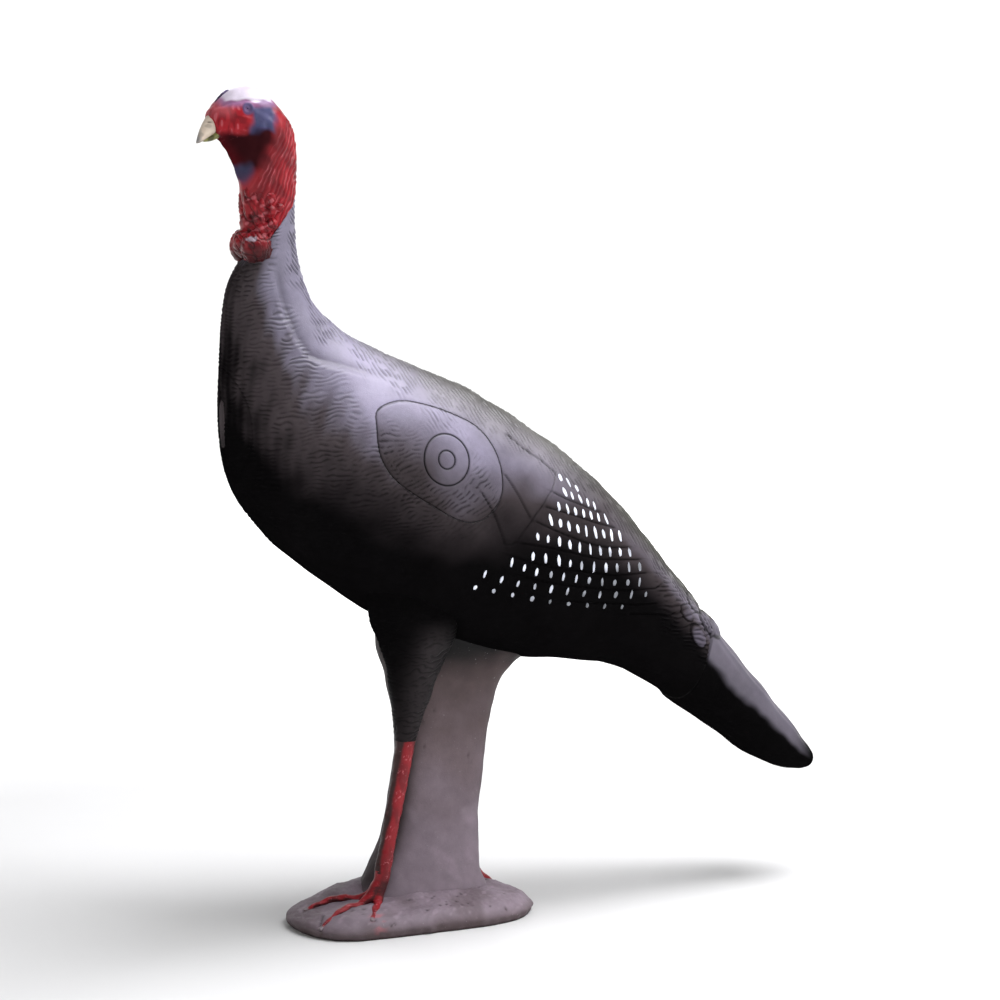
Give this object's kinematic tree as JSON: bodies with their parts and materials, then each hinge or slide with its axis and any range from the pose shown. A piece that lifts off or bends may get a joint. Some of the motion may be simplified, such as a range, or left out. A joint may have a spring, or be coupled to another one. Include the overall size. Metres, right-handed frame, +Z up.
{
  "type": "standing turkey archery target",
  "caption": "Life-size standing turkey in moulded foam on a ground plate, with a removable egg-shaped scoring core across the body.",
  "frame": {"origin": "underside of the ground plate, in the plane of the bird's mirror symmetry", "axes": "+Z up, the bird faces -X and its left flank is towards -Y"},
  "size_m": [0.6749, 0.1826, 0.8278],
  "materials": {
    "bronze_plumage": "satin violet-bronze paint over self-skinned foam, fading to black below",
    "dark_plumage": "satin black paint over self-skinned foam",
    "ground_plate": "flat grey-mauve paint over foam",
    "leg_paint": "brushed red paint over foam",
    "head_skin": "satin red, blue and white paint over foam",
    "eye": "glossy dark paint",
    "beak_horn": "bone paint",
    "beak_olive": "olive paint",
    "steel": "plain drawn steel",
    "dowel_wood": "plain beech"
  },
  "bodies": {
    "target": {"base": "ground_plate", "leg_column": "ground_plate", "left_thigh": "dark_plumage", "right_thigh": "dark_plumage", "left_shank": "leg_paint", "right_shank": "leg_paint", "left_foot": "leg_paint", "right_foot": "leg_paint", "torso": "bronze_plumage", "tail": "dark_plumage", "head": "head_skin", "snood": "head_skin", "wattle": "head_skin", "left_eye": "eye", "right_eye": "eye", "beak_upper": "beak_horn", "beak_lower": "beak_olive", "beard": "dark_plumage", "front_leg_tube": "steel", "rear_leg_tube": "steel", "neck_rod": "steel", "tail_dowel": "dowel_wood"},
    "core": {"vital_core": "bronze_plumage"}
  },
  "joints": [
    {"name": "core_slide", "type": "slide", "parent": "target", "child": "core", "axis": [0, -1, 0], "range_m": [0, 0.2]}
  ]
}
